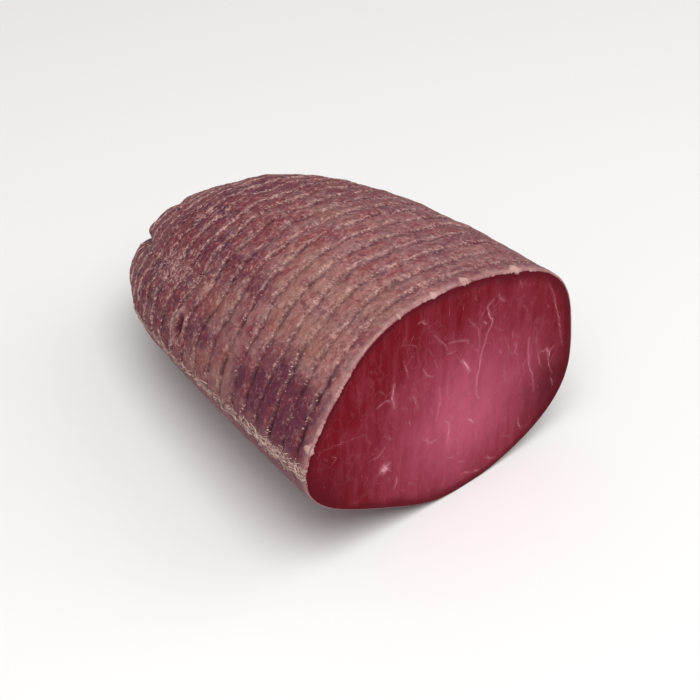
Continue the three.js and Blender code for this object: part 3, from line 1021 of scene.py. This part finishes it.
def face_grid(grid):
    """The cut face as rings from the skin's rim to the middle, with what its material reads."""
    rim = grid.points[0]
    middle = np.array([CUT_X, rim[:, 1].mean(), rim[:, 2].mean()])
    inward = np.linspace(0, 1, FACE_RINGS) ** 1.12
    points = rim + (middle - rim) * inward[:, None, None]
    edge = np.linalg.norm(points - rim, axis=-1)
    y, z = points[..., 1], points[..., 2]
    points[..., 0] = CUT_X + face_rise(y, z, edge)
    points[0, :, 0] = CUT_X
    points[-1] = points[-1].mean(0)

    fat = np.zeros(y.shape)
    for width, paleness, vein in VEINS:
        line = curve_through(vein, 1.2)
        near = (np.abs(y - line[:, 0].mean()) < 20) & (np.abs(z - line[:, 1].mean()) < 25)
        gap = np.hypot(y[near][:, None] - line[:, 0], z[near][:, None] - line[:, 1]).min(1)
        fat[near] = np.maximum(fat[near], 0.6 * paleness * bell(gap / (0.2 + min(width, 2.4) * 0.34)))
    angle = np.broadcast_to(grid.angles % 360, y.shape)
    ragged = 1 + 0.45 * noise(edge, angle, 7, 61, 1.5)
    right, left = bell((y - 62) / 15) * bell((z - 22) / 17), bell((y + 64) / 13) * bell((z - 30) / 22)
    looks = {
        # Paler in the middle: partly the meat's own colour, partly a painted sheen.
        "pale": 0.95 * bell((y - 11) / 38) * bell((z - 37) / 33),
        "crust": np.clip(1 - smooth(edge, 0.6 * ragged, 5.5 * ragged), 0, 1) * 0.85,
        "shade": 0.8 * right + 0.75 * left,
        "fat": fat,
    }
    return points, looks


def on_face(y, z):
    """Points on the cut face at (y, z), well inside its rim."""
    return np.stack([CUT_X + face_rise(y, z, INNER), y, z], -1)


def vein_rings(sizes, veins):
    """Lens-shaped ribbons along the veins, tapered as sin(pi t)^0.7 and unevenly bent, and their tones."""
    rings, tones = [], []
    draw = np.random.default_rng(72)
    for width, paleness, vein in veins:
        line = curve_through(vein, VEIN_STEP)
        t = np.linspace(0, 1, len(line))
        knots = max(3, len(line) // 3)
        bends, swells = draw.normal(0, 0.3, (2, knots)), draw.uniform(0.15, 1.8, knots)
        bends[:, [0, -1]] = 0
        at = np.linspace(0, 1, knots)
        line = line + np.stack([np.interp(t, at, bend) for bend in bends], -1)
        taper = np.maximum(0.04, np.sin(np.pi * t)) ** 0.7 * np.interp(t, at, swells)
        path = on_face(*line.T)
        normal = np.broadcast_to((1.0, 0.0, 0.0), path.shape)
        height = sizes.vein_height * (0.4 + 0.6 * taper)
        rings.append(carried(path, normal, VEIN_PROFILE, 0.13 * width * taper, height))
        tones.append(np.full(rings[-1].shape[:2], paleness) * (0.35 + 0.5 * taper[:, None]))
    return rings, tones


# ---- Net marks ----

TICK_RING = 6


def tick_points(place, ahead, side, up, length, width, height):
    """Low lens-shaped beads: a ring of six points, a top and a bottom, for each place."""
    turn = np.arange(TICK_RING) * 2 * np.pi / TICK_RING
    shape = np.concatenate([np.stack([np.cos(turn), np.sin(turn), 0 * turn], -1), [[0, 0, 1], [0, 0, -0.8]]])
    axes = ((ahead, length / 2), (side, width / 2), (up, height))
    return place[:, None] + sum(
        shape[None, :, k, None] * size[:, None, None] * axis[:, None] for k, (axis, size) in enumerate(axes)
    )


def tick_faces(count):
    """The triangles of these beads, from each ring to its top and to its bottom."""
    i = np.arange(TICK_RING)
    j = (i + 1) % TICK_RING
    top = np.stack([i, j, 0 * i + TICK_RING], -1)
    bottom = np.stack([j, i, 0 * i + TICK_RING + 1], -1)
    one = np.concatenate([top, bottom])
    return (np.arange(count)[:, None, None] * (TICK_RING + 2) + one).reshape(-1, 3)


# Marks are rows of hoop, angle, lean from the hoop in degrees, length, width and tone.


def stitch_marks(sizes):
    """Stitch marks beside each hoop's groove, more of them on the side away from the cut."""
    draw = np.random.default_rng(81)
    rows = []
    for hoop in range(int(LAST_HOOP) + 1):
        girth = CUT_GIRTH * (1 - 0.42 * (hoop / LAST_HOOP) ** 2) * (1 - 0.5 * smooth(hoop, 18, 22.3))
        share = hoop_level(hoop) / SKIN_LENGTH
        for side, keep in ((1, 0.85), (-1, 0.3)):
            count = int(girth / sizes.stitch_spacing)
            angle = (np.arange(count) + draw.uniform(-0.35, 0.35, count)) * 360 / count
            busy = 0.55 + 0.6 * noise(np.full(count, hoop * RIB_PITCH), angle, 11, 82, 1.6)
            busy = np.clip(busy + 0.35 * smooth(share, 0.5, 0.8), 0.1, 1)
            low_side = bell(degrees_apart(angle, 164) / 20) * (1 - smooth(share, 0.25, 0.45))
            kept = keep * busy * (1 - 0.85 * pressed_side(angle)) * (1 - 0.75 * low_side)
            chosen = draw.uniform(0, 1, count) < kept
            offset = side * draw.normal(1.0, 0.22, count) / RIB_PITCH
            lean = draw.normal(55, 18, count) * (1 - smooth(share, 0.35, 0.6)) + draw.normal(0, 12, count)
            length = draw.uniform(0.9, 1.6, count) * (1 + 0.6 * smooth(share, 0.4, 0.7))
            width = draw.uniform(0.38, 0.68, count)
            tone = np.clip(draw.normal(0.5, 0.25, count) + 0.3 * smooth(share, 0.4, 0.8), 0, 1)
            rows.append(np.stack([hoop + offset, angle, lean, length, width, tone], -1)[chosen])
    return np.concatenate(rows)


def cluster(draw, count, hoop, angle, lean, length, width, tone):
    """Marks round a place. Sizes have a least and a most, and the rest a middle and a spread."""
    place = [draw.normal(*spread, count) for spread in (hoop, angle, lean)]
    size = [draw.uniform(*ends, count) for ends in (length, width)]
    return np.stack(place + size + [np.clip(draw.normal(*tone, count), 0, 1)], -1)


def crossing_marks():
    """Clusters of paler marks where the net's strings cross its hoops."""
    draw = np.random.default_rng(83)
    rows = []
    for hoop in range(2, int(LAST_HOOP) + 1):
        for string in STRING_ANGLE + np.arange(STRING_COUNT) * 360 / STRING_COUNT:
            if degrees_apart(string, PRESSED_ANGLE) < 80:
                continue
            place = (hoop + 0.1, 0.13), (string, 1.5), (60, 40)
            rows.append(cluster(draw, draw.integers(2, 7), *place, (0.7, 1.4), (0.35, 0.6), (0.75, 0.2)))
    return np.concatenate(rows)


SPECK_COUNT, SPOT_SPECKS = 1800, 220


def loose_specks():
    """Fine pale specks scattered over the ribs, densest low on the near side and on the speckled spot."""
    draw = np.random.default_rng(84)
    hoop = draw.uniform(-0.7, LAST_HOOP - 1.5, SPECK_COUNT)
    angle = draw.uniform(0, 360, SPECK_COUNT)
    near_side = bell(degrees_apart(angle, 155) / 45) * (0.4 + hoop_level(hoop) / SKIN_LENGTH)
    rosette = patch(hoop_level(hoop), angle, (ROSETTE,))
    kept = (0.3 + 0.5 * near_side + rosette) * (1 - 0.8 * pressed_side(angle))
    chosen = draw.uniform(0, 1, SPECK_COUNT) < kept
    sizes = [draw.uniform(*ends, SPECK_COUNT) for ends in ((-90, 90), (0.4, 1.1), (0.25, 0.4))]
    tone = np.clip(draw.normal(0.15, 0.2, SPECK_COUNT), 0, 1)
    place = (hoop_at(ROSETTE[0]) - 0.5, 0.85), (ROSETTE[1], 5.0), (30, 40)
    spot = cluster(draw, SPOT_SPECKS, *place, (0.8, 2.4), (0.3, 0.5), (0.45, 0.25))
    return np.concatenate([np.stack([hoop, angle, *sizes, tone], -1)[chosen], spot])


# ---- Frayed edge and fibres ----

FRAY_STEPS = 1500
FRAY_START, FRAY_END = 36.0, 186.0
RIM_LIFT = 0.12  # the rim is rounded, so the lip stands this far above it
FRAY_TABS = (  # angle, half width in degrees, length
    (165, 1.8, 3.4),
    (84, 2.0, 3.4),
    (59, 2.2, 3.4),
    (112, 1.0, 1.1),
    (98, 0.7, 1.0),
)


def frayed_rings(sizes, grid):
    """A thin ragged lip of casing along the rim, and its tone.

    Each section is a closed loop: back on the skin, over, tip, and under."""
    angle = np.linspace(FRAY_START, FRAY_END, FRAY_STEPS)
    draw = np.random.default_rng(91)
    flat = np.zeros(FRAY_STEPS)
    coarse = noise(flat + 40, angle, 8.0, 92)
    fine = 0.6 * noise(flat + 10, angle, 0.7, 93) + 0.5 * noise(flat + 20, angle, 1.6, 94)
    ends = smooth(angle, FRAY_START, FRAY_START + 12) * (1 - smooth(angle, FRAY_END - 5, FRAY_END))
    tabs = sum(length * bell((angle - at) / spread) for at, spread, length in FRAY_TABS)
    back = np.clip(0.3 + 0.5 * coarse + 0.5 * fine, 0, 2) * ends + 0.12 + 0.9 * tabs * (1 + 0.5 * fine)
    tip = sizes.fray_reach * np.clip(0.3 + 0.5 * coarse + 1.3 * fine, -0.1, 1.8) * ends
    tip += 0.5 * tabs * (1 + fine)
    thick = np.clip(0.07 + 0.1 * coarse + 0.07 * fine, 0, 1) * ends + 0.02
    thick += 0.13 * tabs * np.clip(1 + fine, 0.3, 2)
    droop = 0.25 + 0.6 * np.clip(fine + 0.4 * coarse, 0, 1) + 0.6 * tabs
    tip, thick, droop = tip[:, None], thick[:, None], droop[:, None]

    (rear, rear_up), (middle, middle_up), (front, front_up) = (
        skin_places(grid, hoop_at(share * back), angle)[:2] for share in (1, 0.5, 0)
    )
    out = np.array((1.0, 0.0, 0.0))
    section = (
        rear - rear_up * 0.12,
        rear + rear_up * (0.02 + 0.3 * thick),
        middle + middle_up * (0.05 + thick),
        front + front_up * (RIM_LIFT + 0.8 * thick),
        front + front_up * (RIM_LIFT - droop) + out * np.maximum(tip, 0.02),
        front - front_up * 0.35 + out * np.clip(tip, 0.0, 0.15),
        front - front_up * 0.5 - out * 0.4,
    )
    rings = np.stack(section, 1)
    rings += draw.normal(0, 0.04, rings.shape)
    tone = np.clip(0.4 + 0.4 * coarse + 0.45 * fine + 0.3 * tabs, 0, 1.2)
    return [rings], [np.broadcast_to(tone[:, None], rings.shape[:2])]


FIBRE_PROFILE = np.array(((1, -0.5), (0, 1), (-1, -0.5)))
FIBRE_POINTS = 5
FIBRE_COUNT = 1400


def fibre_rings(grid):
    """Curled strands of dried casing on the pale ridge, each along a short bent line, and their tones."""
    draw = np.random.default_rng(95)
    rings, tones = [], []
    t = np.linspace(-0.5, 0.5, FIBRE_POINTS)
    for _ in range(FIBRE_COUNT):
        share = draw.uniform(0, 1) ** 2 * 0.75
        distance = distance_at(share)
        angle = ridge_angle(distance) + draw.normal(0, 0.55) * RIDGE_SPREAD * (1.1 - 0.5 * share)
        length = draw.uniform(1.2, 4.2)
        turn = draw.normal(0, 0.32)
        bend = draw.normal(0, 0.5)
        hoop = hoop_at(np.maximum(distance + t * length * math.cos(turn), 0))
        across = t * length * math.sin(turn) + bend * (0.25 - t**2)
        place, normal, _, _ = skin_places(grid, hoop, angle + across * 360 / CUT_GIRTH)
        lift = draw.uniform(0.0, 0.25) + 0.25 * draw.uniform(0, 1) * (1 - 4 * t**2)
        thick = draw.uniform(0.1, 0.24) * (0.35 + 0.65 * (1 - 4 * t**2))
        rings.append(carried(place + normal * lift[:, None], normal, FIBRE_PROFILE, thick, thick))
        tones.append(np.full(rings[-1].shape[:2], np.clip(draw.normal(0.5, 0.3), 0, 1)))
    return rings, tones


# ---- Operators ----


class BRESAOLA_OT_skin(bpy.types.Operator):
    """Make the dried skin, ribbed by the net"""

    bl_idname = "bresaola.skin"
    bl_label = "Dried skin"

    def execute(self, context):
        grid = skin_grid(context.scene.bresaola_sizes)
        faces = ring_faces(*grid.points.shape[:2])
        material = skin_material(context.scene.bresaola_colours, grid.looks)
        make_piece("dried_skin", grid.points, [faces], material, grid.looks, True)
        return {"FINISHED"}


class BRESAOLA_OT_face(bpy.types.Operator):
    """Make the moist cut face"""

    bl_idname = "bresaola.face"
    bl_label = "Cut face"

    def execute(self, context):
        points, looks = face_grid(skin_grid(context.scene.bresaola_sizes))
        faces = ring_faces(*points.shape[:2])[:, ::-1]
        material = face_material(context.scene.bresaola_colours, looks)
        make_piece("cut_face", points, [faces], material, looks, True)
        return {"FINISHED"}


class BRESAOLA_OT_veins(bpy.types.Operator):
    """Make the veins and flecks of fat in the cut face"""

    bl_idname = "bresaola.veins"
    bl_label = "Veins of fat"

    def execute(self, context):
        sizes = context.scene.bresaola_sizes
        rim = skin_grid(sizes).points[0]
        faint = [row for row in branches() + random_flecks(rim) if inside(row[2], rim)]
        strands = vein_rings(sizes, list(VEINS) + faint)
        make_toned("fat_veins", *joined(*strands), context.scene.bresaola_colours)
        return {"FINISHED"}


class BRESAOLA_OT_net_marks(bpy.types.Operator):
    """Make the pale marks that the net's stitches left"""

    bl_idname = "bresaola.net_marks"
    bl_label = "Net marks"

    def execute(self, context):
        sizes = context.scene.bresaola_sizes
        marks = np.concatenate([stitch_marks(sizes), crossing_marks(), loose_specks()])
        hoop, angle, lean, length, width, tone = marks.T
        place, up, around, along = skin_places(skin_grid(sizes), hoop, angle)
        turn = np.radians(lean)[:, None]
        ahead = around * np.cos(turn) + along * np.sin(turn)
        points = tick_points(place, ahead, np.cross(up, ahead), up, length, width, 0.3 * width)
        tones = np.repeat(tone, TICK_RING + 2)
        make_toned("net_marks", points, [tick_faces(len(marks))], tones, context.scene.bresaola_colours)
        return {"FINISHED"}


class BRESAOLA_OT_frayed_edge(bpy.types.Operator):
    """Make the frayed casing at the cut"""

    bl_idname = "bresaola.frayed_edge"
    bl_label = "Frayed edge"

    def execute(self, context):
        sizes = context.scene.bresaola_sizes
        lip = frayed_rings(sizes, skin_grid(sizes))
        make_toned("frayed_edge", *joined(*lip), context.scene.bresaola_colours)
        return {"FINISHED"}


class BRESAOLA_OT_fibres(bpy.types.Operator):
    """Make the strands of dried casing on the pale ridge"""

    bl_idname = "bresaola.fibres"
    bl_label = "Ridge fibres"

    def execute(self, context):
        strands = fibre_rings(skin_grid(context.scene.bresaola_sizes))
        make_toned("ridge_fibres", *joined(*strands), context.scene.bresaola_colours)
        return {"FINISHED"}


FLOOR_REACH, FLOOR_DROP = 4.0, 0.0002  # metres
SOFTBOXES = (  # name, place and size in metres, power in watts
    ("key softbox", (0.5, -0.35, 1.15), 0.9, 13.0),
    ("fill softbox", (0.5, 0.9, 0.8), 1.2, 4.0),
)
SOFTBOX_AIM = (0, 0, 0.05)


class BRESAOLA_OT_stage(bpy.types.Operator):
    """Make the floor, the light and the camera"""

    bl_idname = "bresaola.stage"
    bl_label = "Stage"

    def execute(self, context):
        scene = context.scene
        corners = np.array(((-1, -1, 0), (1, -1, 0), (1, 1, 0), (-1, 1, 0))) * FLOOR_REACH
        corners = corners - (0, 0, FLOOR_DROP)
        mesh = bpy.data.meshes.new("floor")
        mesh.from_pydata(corners.tolist(), [], [range(4)])
        tree, material = new_tree("matt white paint")
        finish(tree, {"Base Color": linear("#E9E8E6"), "Roughness": 0.9, "Specular IOR Level": 0.1})
        mesh.materials.append(material)
        floor = bpy.data.objects.new("floor", mesh)
        context.collection.objects.link(floor)

        world = bpy.data.worlds.new("studio")
        world.use_nodes = True
        background = world.node_tree.nodes["Background"]
        background.inputs["Color"].default_value = (1.0, 1.0, 1.0, 1.0)
        background.inputs["Strength"].default_value = 0.5
        scene.world = world

        for name, place, size, power in SOFTBOXES:
            light = bpy.data.lights.new(name, "AREA")
            light.shape = "SQUARE"
            light.size = size
            light.energy = power
            lamp = bpy.data.objects.new(name, light)
            lamp.location = place
            x, y, z = np.array(SOFTBOX_AIM) - place
            lamp.rotation_euler = (math.atan2(math.hypot(x, y), -z), 0, math.atan2(y, x) - math.pi / 2)
            context.collection.objects.link(lamp)

        camera = bpy.data.cameras.new("camera")
        camera.lens = CAMERA_LENS
        camera.sensor_width = CAMERA_SENSOR
        camera.clip_end = 20
        viewer = bpy.data.objects.new("camera", camera)
        viewer.location = CAMERA_PLACE
        viewer.rotation_euler = (math.radians(90 - CAMERA_ELEVATION), 0, math.radians(CAMERA_AZIMUTH))
        context.collection.objects.link(viewer)
        scene.camera = viewer
        scene.view_settings.view_transform = "Standard"
        return {"FINISHED"}


OPERATORS = (
    BRESAOLA_OT_skin,
    BRESAOLA_OT_face,
    BRESAOLA_OT_veins,
    BRESAOLA_OT_net_marks,
    BRESAOLA_OT_frayed_edge,
    BRESAOLA_OT_fibres,
    BRESAOLA_OT_stage,
)


class BRESAOLA_PT_panel(bpy.types.Panel):
    """Lists the pieces, their sizes and their colours"""

    bl_idname = "BRESAOLA_PT_panel"
    bl_label = "Bresaola"
    bl_space_type = "VIEW_3D"
    bl_region_type = "UI"
    bl_category = "Bresaola"

    def draw(self, context):
        for group in (context.scene.bresaola_sizes, context.scene.bresaola_colours):
            for name in group.__annotations__:
                self.layout.prop(group, name)
        for operator in OPERATORS:
            self.layout.operator(operator.bl_idname)


CLASSES = (BresaolaSizes, BresaolaColours, *OPERATORS, BRESAOLA_PT_panel)


def register():
    for cls in CLASSES:
        bpy.utils.register_class(cls)
    bpy.types.Scene.bresaola_sizes = bpy.props.PointerProperty(type=BresaolaSizes)
    bpy.types.Scene.bresaola_colours = bpy.props.PointerProperty(type=BresaolaColours)


def unregister():
    del bpy.types.Scene.bresaola_colours
    del bpy.types.Scene.bresaola_sizes
    for cls in reversed(CLASSES):
        bpy.utils.unregister_class(cls)


def main():
    register()
    for operator in OPERATORS:
        group, name = operator.bl_idname.split(".")
        getattr(getattr(bpy.ops, group), name)()


if __name__ == "__main__":
    main()
